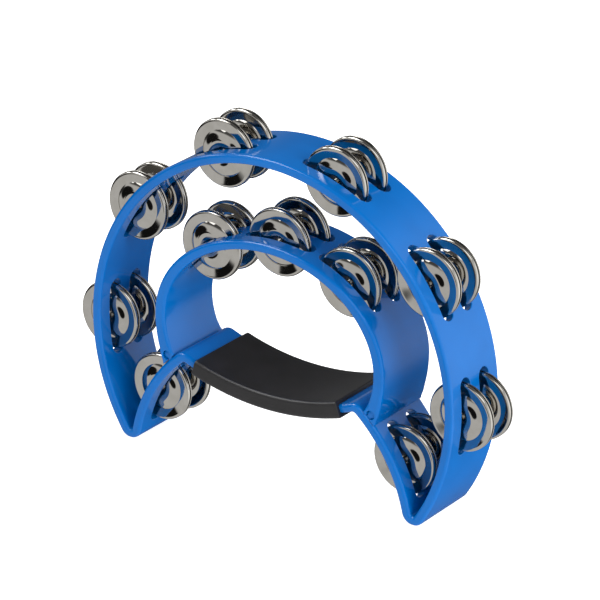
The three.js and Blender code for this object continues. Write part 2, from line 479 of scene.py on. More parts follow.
@dataclass(frozen=True)
class BrightNickel:
    """Bright nickel plate on pressed steel sheet: a warm mirror with soft, wandering reflections.

    The press leaves shallow dents about a centimetre across, and the plate is faintly hazy in
    patches.
    """

    name: str = "bright_nickel_plate"
    colours: tuple[str, str] = ("#B4B1AA", "#BBB8B2")
    dull: tuple[float, float] = (0.035, 0.08)
    dull_span: tuple[float, float] = (0.3, 0.75)
    haze: Noise = Noise(7.0, 4.0)
    haze_span: tuple[float, float] = (0.35, 0.6)
    dent: Noise = Noise(11.0, 1.0)
    dent_height_mm: float = 0.045

    @cache
    def material(self) -> bpy.types.Material:
        """Builds the material, once for all the pieces that share it.

        Returns:
            The node material.
        """
        coat = Coat(self.name)
        haze, dents = (coat.noise(noise) for noise in (self.haze, self.dent))
        return coat.finish(
            {"Metallic": 1.0},
            {
                "Base Color": coat.tint(haze, self.haze_span, self.colours),
                "Roughness": coat.spread(haze, self.dull_span, self.dull),
                "Normal": coat.relief(dents, self.dent_height_mm),
            },
        )


@dataclass(frozen=True)
class DrawnSteel:
    """Drawn steel wire: grey, with a duller gloss than the plate.

    The die's streaks are a few hundredths of a millimetre apart. They are drawn coarser so that
    they show.
    """

    name: str = "drawn_steel_wire"
    colour: str = "#A9A8A4"
    dull: tuple[float, float] = (0.21, 0.45)
    streak: Noise = Noise(1.2, 3.0)
    streak_span: tuple[float, float] = (0.3, 0.7)

    @cache
    def material(self) -> bpy.types.Material:
        """Builds the material, once for all the pieces that share it.

        Returns:
            The node material.
        """
        coat = Coat(self.name)
        streaks = coat.noise(self.streak)
        return coat.finish(
            {"Base Color": linear(self.colour), "Metallic": 1.0},
            {"Roughness": coat.spread(streaks, self.streak_span, self.dull)},
        )


@dataclass(frozen=True)
class Slots:
    """The slots that every station has, one in each row, and the rows' places in depth."""

    length: float = 49.0
    width: float = 10.0
    pitch: float = 19.5
    edge: float = 0.55
    land: float = 2.6
    end_segments: int = 4
    side_segments: int = 6
    columns: int = 24
    edge_segments: int = 3
    tunnel_segments: int = 4

    def outline(self, grow: float) -> Array:
        """Draws a slot's outline, grown by an offset, from the lower left round to the right.

        The outline is a straight lane with round ends. Its points go with those of the tile's
        border: a run of columns below, the rows on the right, the columns above and the rows
        on the left.

        Args:
            grow: how far the outline stands outside the slot.

        Returns:
            Points of shape (n, 2): along the wall and in depth, from the slot's middle.
        """
        radius = self.width / 2 + grow
        half = (self.length - self.width) / 2
        quarter = np.linspace(0, math.pi / 4, self.end_segments, endpoint=False)
        fall = math.pi / 4 - quarter
        straight = self.columns - 2 * self.end_segments
        lane = np.linspace(-half, half, straight, endpoint=False)
        below = np.concatenate([
            np.stack([-half - radius * np.sin(fall), -radius * np.cos(fall)], -1),
            np.stack([lane, np.full(straight, -radius)], -1),
            np.stack([half + radius * np.sin(quarter), -radius * np.cos(quarter)], -1),
        ])
        climb = np.linspace(-math.pi / 4, math.pi / 4, self.side_segments, endpoint=False)
        right = np.stack([half + radius * np.cos(climb), radius * np.sin(climb)], -1)
        return np.concatenate([below, right, -below, -right])


@dataclass(frozen=True)
class WallSizes:
    """What a moulded wall is made with: its depth, its eased edges and its mesh.

    A hair is a sliver of flat face beside an eased edge, which keeps its shading off the face.
    """

    depth: float = 50.0
    edge: float = 2.0
    edge_segments: int = 6
    hair: float = 0.05
    spacing: float = 2.5
    rings: int = 4


@dataclass
class MouldedWall:
    """A wall drawn by outlines and carried through the depth, with eased edges and slots."""

    shell: Shell
    sizes: WallSizes
    slots: Slots

    def split(self, arc: Arc, stations: list[Station], solid: int) -> list[Run]:
        """Cuts an arc into plain stretches and slotted ones.

        Where two slots are so close that their stretches would overlap, they meet halfway.

        Args:
            arc: the arc of one face of a wall.
            stations: the stations on it, in the order in which the arc meets them.
            solid: which way the material lies, as Run has it.

        Returns:
            The runs in the arc's order.
        """
        turns = np.linspace(arc.start, arc.end, CUT_SAMPLES)
        line = arc.at(turns)
        half = self.slots.length / 2 + self.slots.edge + self.slots.land
        spans = np.empty((len(stations), 2))
        for i, station in enumerate(stations):
            near = station.near(line, self.slots.length)
            across = station.across(line[near])
            order = np.argsort(across)
            spans[i] = np.interp([-half, half], across[order], turns[near][order])
        way = 1 if arc.end > arc.start else -1
        spans = spans[:, ::way]
        crowded = way * (spans[:-1, 1] - spans[1:, 0]) > 0
        middle = (spans[:-1, 1] + spans[1:, 0]) / 2
        spans[:-1, 1] = np.where(crowded, middle, spans[:-1, 1])
        spans[1:, 0] = np.where(crowded, middle, spans[1:, 0])
        runs: list[Run] = []
        at = arc.start
        for station, (first, last) in zip(stations, spans):
            runs.append(Run(arc.line(self.sizes.spacing, 2, at, first)))
            cut = arc.at(np.linspace(first, last, self.slots.columns + 1))
            runs.append(Run(cut, arc, station, solid))
            at = last
        runs.append(Run(arc.line(self.sizes.spacing, 2, at, arc.end)))
        return [run for run in runs if np.ptp(run.line, axis=0).max() > self.sizes.hair]

    def rows(self, half_depth: Array) -> Array:
        """Spreads the rows of a wall's face in depth, evenly on both sides of the middle."""
        shares = np.linspace(-1, 1, 2 * self.slots.side_segments + 1)
        return shares[:, None] * half_depth[None, :]

    def slotted(self, run: Run, half_depth: float) -> None:
        """Adds a stretch of a wall's face that two slots cut, with the slots' eased edges.

        Each half of the stretch is a ring of quads between its border and a slot: a point is
        border (1 - s) + outline s, lifted onto the face. The edge then follows a quarter
        circle into the slot.

        Args:
            run: the slotted run.
            half_depth: half of the face's depth, between its eased edges.
        """
        station, arc, slots = run.station, run.arc, self.slots
        across = station.across(run.line)
        if across[0] > across[-1]:
            across = across[::-1]
        for side in (-1, 1):
            middle = side * slots.pitch / 2
            low, high = sorted((0.0, side * half_depth))
            climb = np.linspace(low, high, slots.side_segments + 1)
            border = np.concatenate([
                np.stack([across[:-1], np.full(slots.columns, low)], -1),
                np.stack([np.full(slots.side_segments, across[-1]), climb[:-1]], -1),
                np.stack([across[:0:-1], np.full(slots.columns, high)], -1),
                np.stack([np.full(slots.side_segments, across[0]), climb[:0:-1]], -1),
            ])
            shift = np.array([0.0, middle])
            rim = slots.outline(slots.edge + self.sizes.hair) + shift
            share = np.linspace(0, 1, self.sizes.rings + 1)[:, None, None]
            face = border[None] * (1 - share) + rim[None] * share
            sink, grow = quarter(slots.edge_segments)
            edge = np.stack([slots.outline(slots.edge * share) + shift for share in grow])
            flat = np.concatenate([face, edge])
            sunk = np.concatenate([np.zeros(len(face)), slots.edge * sink])
            out = station.reach(arc, flat[..., 0]) + run.solid * sunk[:, None]
            self.shell.add(station.place(flat[..., 0], out), flat[..., 1], close_columns=True)

    def tunnels(self, station: Station, outer: Arc, inner: Arc) -> None:
        """Adds the inside of a station's two slots, straight from one face to the other.

        Args:
            station: the station.
            outer: the arc of the wall's outer face.
            inner: the arc of its inner face.
        """
        for side in (-1, 1):
            outline = self.slots.outline(0.0) + np.array([0.0, side * self.slots.pitch / 2])
            top = station.reach(outer, outline[:, 0]) - self.slots.edge
            bottom = station.reach(inner, outline[:, 0]) + self.slots.edge
            out = np.linspace(top, bottom, self.slots.tunnel_segments + 1)
            self.shell.add(station.place(outline[:, 0], out), outline[:, 1], close_columns=True)

    def carry(self, runs: list[Run], material_inside: bool, edge: Array | None = None) -> None:
        """Carries an outline through the depth and eases its front and back edges.

        The edge is a quarter circle: at an angle a the outline moves into the material by
        e - e cos a and outwards in depth by e sin a.

        Args:
            runs: the runs of the closed outline.
            material_inside: whether the material lies inside the outline.
            edge: the radius of the edge at each point, where it isn't the same all round.
        """
        sizes = self.sizes
        loop = np.concatenate([run.line[:-1] for run in runs])
        radius = np.full(len(loop), sizes.edge) if edge is None else edge
        half = sizes.depth / 2
        start = 0
        for run in runs:
            count = len(run.line)
            own = radius[np.arange(start, start + count) % len(loop)]
            start += count - 1
            if run.station is not None:
                self.slotted(run, half - sizes.edge - sizes.hair)
                continue
            self.shell.add(run.line, self.rows(half - own - sizes.hair))
        inward = into_material(loop, material_inside)
        move, fall = (share[:, None] * radius for share in quarter(sizes.edge_segments))
        offset = np.concatenate([np.zeros((1, len(loop))), move, radius[None] + sizes.hair])
        depth = np.concatenate([
            half - radius[None] - sizes.hair, half - fall, np.full((1, len(loop)), half)])
        plan = loop + offset[..., None] * inward
        for side in (-1, 1):
            self.shell.add(plan, side * depth, close_columns=True)


def into_material(loop: Array, material_inside: bool) -> Array:
    """Finds the mitred directions from an outline's points into the material.

    The direction is (n1 + n2) / (1 + n1 . n2), from the normals of the two segments.

    Args:
        loop: the closed outline, of shape (n, 2).
        material_inside: whether the material lies inside the outline.

    Returns:
        Directions of shape (n, 2), long enough at a corner for an even offset.
    """
    ahead = np.roll(loop, -1, axis=0) - loop
    ahead /= np.linalg.norm(ahead, axis=1, keepdims=True)
    area = np.sum(loop[:, 0] * np.roll(loop[:, 1], -1) - loop[:, 1] * np.roll(loop[:, 0], -1)) / 2
    side = (1 if area > 0 else -1) * (1 if material_inside else -1)
    normal = side * np.stack([-ahead[:, 1], ahead[:, 0]], -1)
    before = np.roll(normal, 1, axis=0)
    return (normal + before) / (1 + np.sum(normal * before, axis=1, keepdims=True))


@dataclass(frozen=True)
class FrameSizes:
    """The frame's driving sizes.

    The legs' circle is inset from the hoop and rises over its centre.
    """

    hoop: float = 133.0
    wall: float = 6.2
    leg_inset: float = 26.8
    leg_rise: float = 15.8
    foot: float = 8.0
    sole: float = 3.0
    bar: float = 172.0
    bar_thickness: float = 5.5
    bar_drop: float = 21.7
    crotch: float = 1.6
    shoulder: float = 7.0
    under_shoulder: float = 3.0
    station_angle: float = 36.5
    station_count: int = 6
    leg_station_share: float = 0.573


@dataclass(frozen=True)
class BeadSizes:
    """The snap bead on each shoulder, and the clearance of its socket."""

    radius: float = 2.6
    rise: float = 3.0
    neck: float = 3.2
    setback: float = 7.4
    clearance: float = 0.3
    inset: float = 1.3
    ease: float = 0.4
    ease_segments: int = 3
    spacing: float = 0.6
    socket_spacing: float = 0.5
    socket_sink: float = 0.05


class Side(Enum):
    """The two faces of the frame's wall."""

    OUTER = "outer"
    INNER = "inner"


@dataclass(frozen=True)
class FrameDrawing:
    """The frame's circles, worked out from its sizes, and the stations on it."""

    sizes: FrameSizes = FrameSizes()
    bead: BeadSizes = BeadSizes()

    @property
    def leg_radius(self) -> float:
        """Radius of the legs' upper face."""
        return self.sizes.hoop - self.sizes.leg_inset

    @property
    def leg_height(self) -> float:
        """Height of the centre of the legs' circle."""
        return self.sizes.leg_rise - self.leg_radius

    @property
    def bar_height(self) -> float:
        """Height of the centre of the bar's circle."""
        return self.sizes.bar - self.sizes.bar_drop

    def radii(self, side: Side) -> tuple[float, float, float, float, float]:
        """Gives a face's radii.

        Args:
            side: the face.

        Returns:
            The radii of the hoop, the tip, the leg, the corner and the bar.
        """
        s = self.sizes
        half = s.bar_thickness / 2
        if side is Side.OUTER:
            return (s.hoop, s.foot, self.leg_radius - s.wall, s.under_shoulder, s.bar + half)
        return (s.hoop - s.wall, s.crotch, self.leg_radius, s.shoulder, s.bar - half)

    def tip(self, side: Side) -> Point:
        """Finds the centre of a face's tip, where the hoop turns over into the leg."""
        hoop, tip, leg, _, _ = self.radii(side)
        return meet(0.0, hoop - tip, self.leg_height, leg + tip)

    def corner(self, side: Side) -> Point:
        """Finds the centre of a face's corner, where the leg turns over into the bar."""
        _, _, leg, corner, bar = self.radii(side)
        return meet(self.leg_height, leg - corner, self.bar_height, bar + corner)

    @property
    def lift(self) -> float:
        """Height of the hoop's centre over the floor, with both soles on it."""
        half_sole = self.sizes.sole / 2
        return math.sqrt(self.sizes.foot ** 2 - half_sole ** 2) - self.tip(Side.OUTER)[1]

    def arcs(self, side: Side) -> dict[str, Arc]:
        """Draws the right half of a face, with the whole hoop and the whole bar.

        Args:
            side: the face.

        Returns:
            The arcs by name, each of them run the way the outline goes.
        """
        hoop, tip, leg, corner, bar = self.radii(side)
        tip_at, corner_at = self.tip(side), self.corner(side)
        leg_at, bar_at = (0.0, self.leg_height), (0.0, self.bar_height)
        down = turn_to((0.0, 0.0), tip_at)
        half_sole = math.asin(self.sizes.sole / 2 / tip) if side is Side.OUTER else 0.0
        leg_turn, bar_turn = turn_to(leg_at, corner_at), turn_to(bar_at, corner_at)
        tip_end = 2 * math.pi + turn_to(tip_at, leg_at)
        return {
            "hoop": Arc(0.0, 0.0, hoop, hoop, -down, down),
            "tip_out": Arc(*tip_at, tip, tip, down, math.pi - half_sole),
            "tip_in": Arc(*tip_at, tip, tip, math.pi + half_sole, tip_end),
            "leg": Arc(*leg_at, leg, leg, turn_to(leg_at, tip_at), leg_turn),
            "corner": Arc(*corner_at, corner, corner, leg_turn, turn_to(corner_at, bar_at)),
            "bar": Arc(*bar_at, bar, bar, bar_turn, 2 * math.pi - bar_turn),
        }

    def hoop_stations(self) -> list[Station]:
        """Places the stations of the band at even angles about its top.

        Returns:
            The stations from left to right.
        """
        s = self.sizes
        middle = s.hoop - s.wall / 2
        steps = np.arange(s.station_count) - (s.station_count - 1) / 2
        leans = np.radians(steps * s.station_angle)
        return [
            Station(f"rim_{i + 1}", middle * math.sin(lean), middle * math.cos(lean), lean)
            for i, lean in enumerate(leans)
        ]

    def leg_station(self, side: int) -> Station:
        """Places the station of a leg at a share of the way from the shoulder to the foot.

        Args:
            side: -1 for the left leg and 1 for the right one.

        Returns:
            The station.
        """
        centre = (0.0, self.leg_height)
        shoulder = turn_to(centre, self.corner(Side.OUTER))
        foot = turn_to(centre, self.tip(Side.OUTER))
        lean = side * (shoulder + (foot - shoulder) * self.sizes.leg_station_share)
        middle = self.leg_radius - self.sizes.wall / 2
        name = "leg_left" if side < 0 else "leg_right"
        x, z = middle * math.sin(lean), self.leg_height + middle * math.cos(lean)
        return Station(name, x, z, lean)

    @property
    def bead_circle(self) -> float:
        """Radius of the circle on which the beads' centres lie."""
        return self.leg_radius + self.bead.rise

    @property
    def bead_lean(self) -> float:
        """How far a bead leans from upright."""
        shoulder = turn_to((0.0, self.leg_height), self.corner(Side.INNER))
        return shoulder + self.bead.setback / self.bead_circle

    def foot_spot(self, beyond: float) -> Point:
        """Finds the spot on the beads' circle at a distance beyond a bead."""
        radius, lean = self.bead_circle, self.bead_lean + beyond / self.bead_circle
        return (radius * math.sin(lean), self.leg_height + radius * math.cos(lean))

    def bead_outline(self, grow: float, root: float, spacing: float) -> Array:
        """Draws a right-hand bead from one side of its neck round to the other.

        Args:
            grow: how far the outline stands outside the bead.
            root: height of the neck's open end, from the bead's centre.
            spacing: the greatest distance between points.

        Returns:
            Points of shape (n, 2), from the outer side of the neck to the inner side.
        """
        radius = self.bead.radius + grow
        neck = self.bead.neck / 2 + grow
        start = math.pi - math.asin(neck / radius)
        round_part = Arc(0.0, 0.0, radius, radius, start, -start).line(spacing)
        local = np.concatenate([[[neck, root]], round_part, [[-neck, root]]])
        spot = self.foot_spot(0.0)
        return Station("bead", spot[0], spot[1], self.bead_lean).place(local[:, 0], local[:, 1])


def fit(
    piece: bpy.types.Object, material: bpy.types.Material, body: str, node: str
) -> None:
    """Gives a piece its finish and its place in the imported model.

    Args:
        piece: the finished piece.
        material: its material.
        body: the body that it moves with.
        node: the node that it stands for.
    """
    piece.data.materials.append(material)
    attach(piece, body)
    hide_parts(node)


class SubAssembly(ABC):
    """One of the tambourine's sub-assemblies, which builds its own pieces and dresses them."""

    @abstractmethod
    def build(self) -> list[bpy.types.Object]:
        """Builds the meshes of the sub-assembly's pieces."""

    @abstractmethod
    def dress(self, piece: bpy.types.Object) -> None:
        """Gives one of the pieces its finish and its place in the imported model."""

    def make(self) -> list[bpy.types.Object]:
        """Builds and dresses the pieces.

        Returns:
            The finished pieces.
        """
        pieces = self.build()
        for piece in pieces:
            self.dress(piece)
        return pieces


@dataclass(frozen=True)
class Pins(SubAssembly):
    """The steel pins that the jingles slide on: wire in a blind hole that opens at the back."""

    drawing: FrameDrawing
    wall: WallSizes
    stations: tuple[Station, ...] = ()
    radius: float = 1.5
    cover: float = 3.2
    recess: float = 0.6
    chamfer: float = 0.35
    pocket_room: float = 0.04
    pocket_depth: float = 2.2
    segments: int = 32
    finish: DrawnSteel = DrawnSteel()

    def pocket(self, shell: Shell, station: Station) -> None:
        """Adds the mouth of a pin's hole, as a short tube from the back face.

        Args:
            shell: the shell of the wall that the hole is in.
            station: the pin's station.
        """
        ring = station.spot + (self.radius + self.pocket_room) * all_round(self.segments)
        mouth = self.wall.depth / 2
        shell.add(ring, np.array([[mouth], [mouth - self.pocket_depth]]), close_columns=True)

    def wire(self, station: Station) -> bpy.types.Object:
        """Builds the pin of a station: a wire with both ends chamfered.

        Args:
            station: the pin's station.

        Returns:
            The object.
        """
        half = self.wall.depth / 2
        front, back = -half + self.cover, half - self.recess
        thin = self.radius - self.chamfer
        radius = np.array([0.0, thin, self.radius, self.radius, thin, 0.0])
        depth = np.array([front, front, front + self.chamfer, back - self.chamfer, back, back])
        shell = Shell(f"wire_{station.name}")
        plan = station.spot + radius[:, None, None] * all_round(self.segments)
        shell.add(plan, depth[:, None], close_columns=True)
        return shell.build(self.drawing.lift, crease=30.0)

    def build(self) -> list[bpy.types.Object]:
        """Builds the pin of every station."""
        return [self.wire(station) for station in self.stations]

    def dress(self, piece: bpy.types.Object) -> None:
        """Dresses a pin in steel. It stays with the frame."""
        node = piece.name.replace("wire_", "pin_")
        fit(piece, self.finish.material(), "frame", node)


@dataclass(frozen=True)
class Frame(SubAssembly):
    """The moulded frame: band, feet, legs, shoulders, bar and the two snap beads."""

    drawing: FrameDrawing
    wall: WallSizes
    slots: Slots
    pins: Pins
    curve_segments: int = 8
    finish: GlossABS = GlossABS()

    def curve(self, arc: Arc) -> Run:
        """Samples one of a face's small curves."""
        spacing = abs(arc.end - arc.start) * arc.width / self.curve_segments
        return Run(arc.line(spacing, self.curve_segments))

    def sole(self, arcs: dict[str, Arc]) -> Array:
        """Draws the flat sole of the right-hand foot, between the two halves of its tip."""
        out, back = arcs["tip_out"], arcs["tip_in"]
        return np.linspace(out.at(np.array(out.end)), back.at(np.array(back.start)), 3)

    def runs(self, moulded: MouldedWall, side: Side) -> list[Run]:
        """Draws one face of the frame's wall all the way round.

        Args:
            moulded: the wall that the face belongs to.
            side: the face.

        Returns:
            The runs of the closed outline.
        """
        arcs = self.drawing.arcs(side)
        solid = -1 if side is Side.OUTER else 1
        soles = [self.sole(arcs)] if side is Side.OUTER else []
        right = [
            self.curve(arcs["tip_out"]),
            *(Run(line) for line in soles),
            self.curve(arcs["tip_in"]),
            *moulded.split(arcs["leg"], [self.drawing.leg_station(1)], -solid),
            self.curve(arcs["corner"]),
        ]
        left = [
            self.curve(arcs["corner"].mirrored()),
            *moulded.split(arcs["leg"].mirrored(), [self.drawing.leg_station(-1)], -solid),
            self.curve(arcs["tip_in"].mirrored()),
            *(Run(line[::-1] * np.array([-1.0, 1.0])) for line in soles),
            self.curve(arcs["tip_out"].mirrored()),
        ]
        hoop = moulded.split(arcs["hoop"], self.drawing.hoop_stations(), solid)
        return [*hoop, *right, Run(arcs["bar"].line(self.wall.spacing)), *left]

    def add_beads(self, shell: Shell) -> None:
        """Adds the two beads, whose necks run down into the shoulders and whose ends are eased.

        Args:
            shell: the frame's shell.
        """
        bead = self.drawing.bead
        root = -bead.rise - self.drawing.sizes.wall / 2
        line = self.drawing.bead_outline(0.0, root, bead.spacing)
        inward = into_material(line, True)
        half = self.wall.depth / 2 - bead.inset
        move, fall = (bead.ease * share for share in quarter(bead.ease_segments))
        offset = np.concatenate([move[::-1], move])
        depth = np.concatenate([-half + fall[::-1], half - fall])
        plan = line + offset[:, None, None] * inward
        for flip in (-1, 1):
            shell.add(plan * np.array([flip, 1]), depth[:, None], close_columns=True)

    def build(self) -> list[bpy.types.Object]:
        """Builds the frame as one closed shell, with the beads as two more.

        Returns:
            The one moulding.
        """
        shell = Shell("moulded_frame")
        moulded = MouldedWall(shell, self.wall, self.slots)
        for side in Side:
            moulded.carry(self.runs(moulded, side), side is Side.OUTER)
        outer, inner = self.drawing.arcs(Side.OUTER), self.drawing.arcs(Side.INNER)
        for station in self.drawing.hoop_stations():
            moulded.tunnels(station, outer["hoop"], inner["hoop"])
            self.pins.pocket(shell, station)
        for side in (-1, 1):
            station = self.drawing.leg_station(side)
            moulded.tunnels(station, inner["leg"], outer["leg"])
            self.pins.pocket(shell, station)
        self.add_beads(shell)
        half = self.wall.depth / 2
        bead_end = half - self.drawing.bead.inset
        planes = (-half, half, half - self.pins.pocket_depth, -bead_end, bead_end)
        return [shell.build(self.drawing.lift, planes)]

    def dress(self, piece: bpy.types.Object) -> None:
        """Dresses the frame in its blue ABS."""
        fit(piece, self.finish.material(), "frame", "frame")


@dataclass(frozen=True)
class InnerArch(SubAssembly):
    """The smaller arch, whose feet snap over the beads on the frame's shoulders.

    It is half-ellipses over its widest line and deeper ones down to its feet.
    """

    drawing: FrameDrawing
    wall: WallSizes
    slots: Slots
    pins: Pins
    rise: float = 13.5
    crown_room: float = 48.0
    overhang: float = 5.3
    side_wall: float = 7.7
    crown_wall: float = 5.9
    foot_wall: float = 10.3
    station_count: int = 3
    station_web: float = 3.8
    foot_edge: float = 0.3
    edge_growth: float = 0.4
    seat_spacing: float = 1.0
    finish: GlossABS = GlossABS()

    def half_sizes(self, inset_side: float, inset_crown: float) -> tuple[float, float]:
        """Gives the half-width and height of an ellipse inside the outer one.

        Args:
            inset_side: how far it lies inside the outer one at the sides.
            inset_crown: how far it lies inside the outer one at the crown.

        Returns:
            The half-width and the height.
        """
        frame_sizes = self.drawing.sizes
        width = self.drawing.foot_spot(self.foot_wall / 2)[0] + self.overhang
        height = frame_sizes.hoop - frame_sizes.wall - self.crown_room - self.rise
        return width - inset_side, height - inset_crown

    def stations(self) -> list[Station]:
        """Places the arch's stations at even distances along the middle of its wall.

        Returns:
            The stations from left to right.
        """
        width, height = self.half_sizes(self.side_wall / 2, self.crown_wall / 2)
        turns = np.linspace(-math.pi / 2, math.pi / 2, FINE_SAMPLES)
        line = Arc(0.0, self.rise, width, height, turns[0], turns[-1]).at(turns)
        length = np.concatenate([[0.0], np.cumsum(np.linalg.norm(np.diff(line, axis=0), axis=1))])
        count = self.station_count
        pitch = self.slots.length + self.station_web
        places = length[-1] / 2 + (np.arange(count) - (count - 1) / 2) * pitch
        at = np.interp(places, length, turns)
        leans = np.arctan2(height * np.sin(at), width * np.cos(at))
        spots = np.stack([width * np.sin(at), self.rise + height * np.cos(at), leans], -1)
        return [Station(f"arch_{i + 1}", *spot) for i, spot in enumerate(spots.tolist())]

    def face(self, inset_side: float, inset_crown: float, beyond: float) -> tuple[Arc, Arc]:
        """Draws one face: the arc over the widest line and the right-hand one below it.

        The lower arc's height makes it cross the beads' circle at a distance beyond the bead,
        and it ends on the seat.

        Args:
            inset_side: how far the face lies inside the outer one at the sides.
            inset_crown: how far it lies inside the outer one at the crown.
            beyond: where it crosses the beads' circle, from the bead.

        Returns:
            The upper arc and the lower one.
        """
        width, height = self.half_sizes(inset_side, inset_crown)
        foot = self.drawing.foot_spot(beyond)
        rise = self.rise
        depth = (rise - foot[1]) / math.sqrt(1 - (foot[0] / width) ** 2)
        turns = np.linspace(math.pi / 2, math.pi, FINE_SAMPLES)
        lower = Arc(0.0, rise, width, depth, turns[0], turns[-1])
        seat = self.drawing.leg_radius + self.drawing.bead.clearance
        centre = np.array([0.0, self.drawing.leg_height])
        gap = np.linalg.norm(lower.at(turns) - centre, axis=1) - seat
        end = float(turns[np.argmax(gap < 0)])
        upper = Arc(0.0, rise, width, height, -math.pi / 2, math.pi / 2)
        return upper, Arc(0.0, rise, width, depth, math.pi / 2, end)

    def foot(self, outer_end: Array, inner_end: Array) -> Array:
        """Draws the right-hand foot from the outer face round the socket to the inner face.

        Args:
            outer_end: where the outer face meets the seat.
            inner_end: where the inner face meets it.

        Returns:
            Points of shape (n, 2).
        """
        bead = self.drawing.bead
        seat = self.drawing.leg_radius + bead.clearance
        centre = np.array([0.0, self.drawing.leg_height])
        root = -bead.rise + bead.socket_sink
        socket = self.drawing.bead_outline(bead.clearance, root, bead.socket_spacing)
        leans = [math.atan2(*(p - centre)) for p in (outer_end, socket[0], socket[-1], inner_end)]
        first, last = (
            Arc(*centre.tolist(), seat, seat, start, end).line(self.seat_spacing)
            for start, end in (leans[:2], leans[2:])
        )
        return np.concatenate([first, socket[1:-1], last])

    def build(self) -> list[bpy.types.Object]:
        """Builds the arch as one closed shell, whose edges sharpen towards its feet.

        Returns:
            The one moulding.
        """
        shell = Shell("moulded_inner_arch")
        moulded = MouldedWall(shell, self.wall, self.slots)
        stations = self.stations()
        outer, outer_low = self.face(0.0, 0.0, self.foot_wall / 2)
        inner, inner_low = self.face(self.side_wall, self.crown_wall, -self.foot_wall / 2)
        space = self.wall.spacing / 2
        foot = self.foot(*(low.at(np.array(low.end)) for low in (outer_low, inner_low)))
        low_out, low_in = outer_low.line(space), inner_low.line(space)
        flip = np.array([-1.0, 1.0])
        foot[0], foot[-1] = low_out[-1], low_in[-1]
        inside = moulded.split(inner, stations, 1)
        back_in = [
            Run(run.line[::-1], run.arc, run.station, run.solid) for run in reversed(inside)]
        runs = [
            *moulded.split(outer, stations, -1),
            Run(low_out),
            Run(foot),
            Run(low_in[::-1]),
            *back_in,
            Run(low_in * flip),
            Run(foot[::-1] * flip),
            Run(low_out[::-1] * flip),
        ]
        loop = np.concatenate([run.line[:-1] for run in runs])
        right_half = np.stack([np.abs(loop[:, 0]), loop[:, 1]], -1)
        gap = np.linalg.norm(right_half[:, None] - foot[None], axis=-1).min(axis=1)
        edge = np.minimum(self.wall.edge, self.foot_edge + self.edge_growth * gap)
        moulded.carry(runs, True, edge)
        for station in stations:
            moulded.tunnels(station, outer, inner)
            self.pins.pocket(shell, station)
        half = self.wall.depth / 2
        return [shell.build(self.drawing.lift, (-half, half, half - self.pins.pocket_depth))]

    def dress(self, piece: bpy.types.Object) -> None:
        """Dresses the arch in the frame's ABS. It stays with the frame."""
        fit(piece, self.finish.material(), "frame", "inner_arch")


@dataclass(frozen=True)
class Grip(SubAssembly):
    """The rubber sleeve on the handle bar: an even wall, soft edges and square ends."""

    drawing: FrameDrawing
    bar: WallSizes
    length: float = 109.0
    wall: float = 2.6
    edge: float = 2.1
    end_edge: float = 0.9
    bore_room: float = 0.08
    bore_corner: float = 1.0
    corner_segments: int = 6
    side_segments: int = 12
    end_segments: int = 4
    length_segments: int = 55
    bore_segments: int = 40
    finish: MouldedRubber = MouldedRubber()

    def section(self, thickness: float, depth: float, corner: float) -> Array:
        """Draws a rectangle with round corners: in depth and out from the bar's middle.

        Args:
            thickness: size out from the bar.
            depth: size in depth.
            corner: radius of the corners.

        Returns:
            Points of shape (n, 2).
        """
        centre = np.array([depth / 2 - corner, thickness / 2 - corner])
        signs = np.array([(1, 1), (-1, 1), (-1, -1), (1, -1)])
        quarters = np.arange(4)[:, None] * math.pi / 2
        angle = np.linspace(0, math.pi / 2, self.corner_segments + 1) + quarters
        corners = (centre * signs)[:, None] + corner * np.stack([np.cos(angle), np.sin(angle)], -1)
        share = np.linspace(0, 1, self.side_segments, endpoint=False)[1:, None]
        following = np.roll(corners, -1, axis=0)[:, None, 0]
        sides = corners[:, None, -1] * (1 - share) + following * share
        return np.concatenate([corners, sides], axis=1).reshape(-1, 2)

    def build(self) -> list[bpy.types.Object]:
        """Builds the sleeve: its section carried along the bar, over its ends and back inside.

        A point at a distance s along the bar and t out from it lies at the turn s / R on a
        circle of radius R - t, where R is the bar's.

        Returns:
            The one sleeve.
        """
        bar = self.drawing.sizes.bar
        thickness, depth = self.drawing.sizes.bar_thickness, self.bar.depth
        half = self.length / 2
        straight = half - self.end_edge
        middle = np.linspace(-straight, straight, self.length_segments + 1)[1:-1]
        end_sink, fall = (self.end_edge * share for share in quarter(self.end_segments))
        end = half - fall
        along = np.concatenate([-end[::-1], middle, end])
        sinks = np.concatenate([end_sink[::-1], np.zeros(len(middle)), end_sink])
        walls = 2 * (self.wall - sinks)
        sections = [
            self.section(thickness + wall, depth + wall, self.edge - sink)
            for wall, sink in zip(walls, sinks)
        ]
        bore_rows = np.linspace(half, -half, self.bore_segments + 1)
        room = 2 * self.bore_room
        bore = self.section(thickness + room, depth + room, self.bore_corner)
        grid = np.stack([*sections, *([bore] * len(bore_rows))])
        lean = np.concatenate([along, bore_rows])[:, None] / bar
        out = bar - grid[..., 1]
        plan = np.stack([out * np.sin(lean), self.drawing.bar_height - out * np.cos(lean)], -1)
        shell = Shell("rubber_grip")
        shell.add(plan, grid[..., 0], close_rows=True, close_columns=True)
        return [shell.build(self.drawing.lift, crease=50.0)]

    def dress(self, piece: bpy.types.Object) -> None:
        """Dresses the sleeve in black rubber. It stays with the frame."""
        fit(piece, self.finish.material(), "frame", "grip")


class Face(Enum):
    """Which way a jingle of a pair faces: its dome to the front or to the back."""

    FORE = -1
    AFT = 1


class Row(Enum):
    """The two rows of slots."""

    FRONT = -1
    REAR = 1


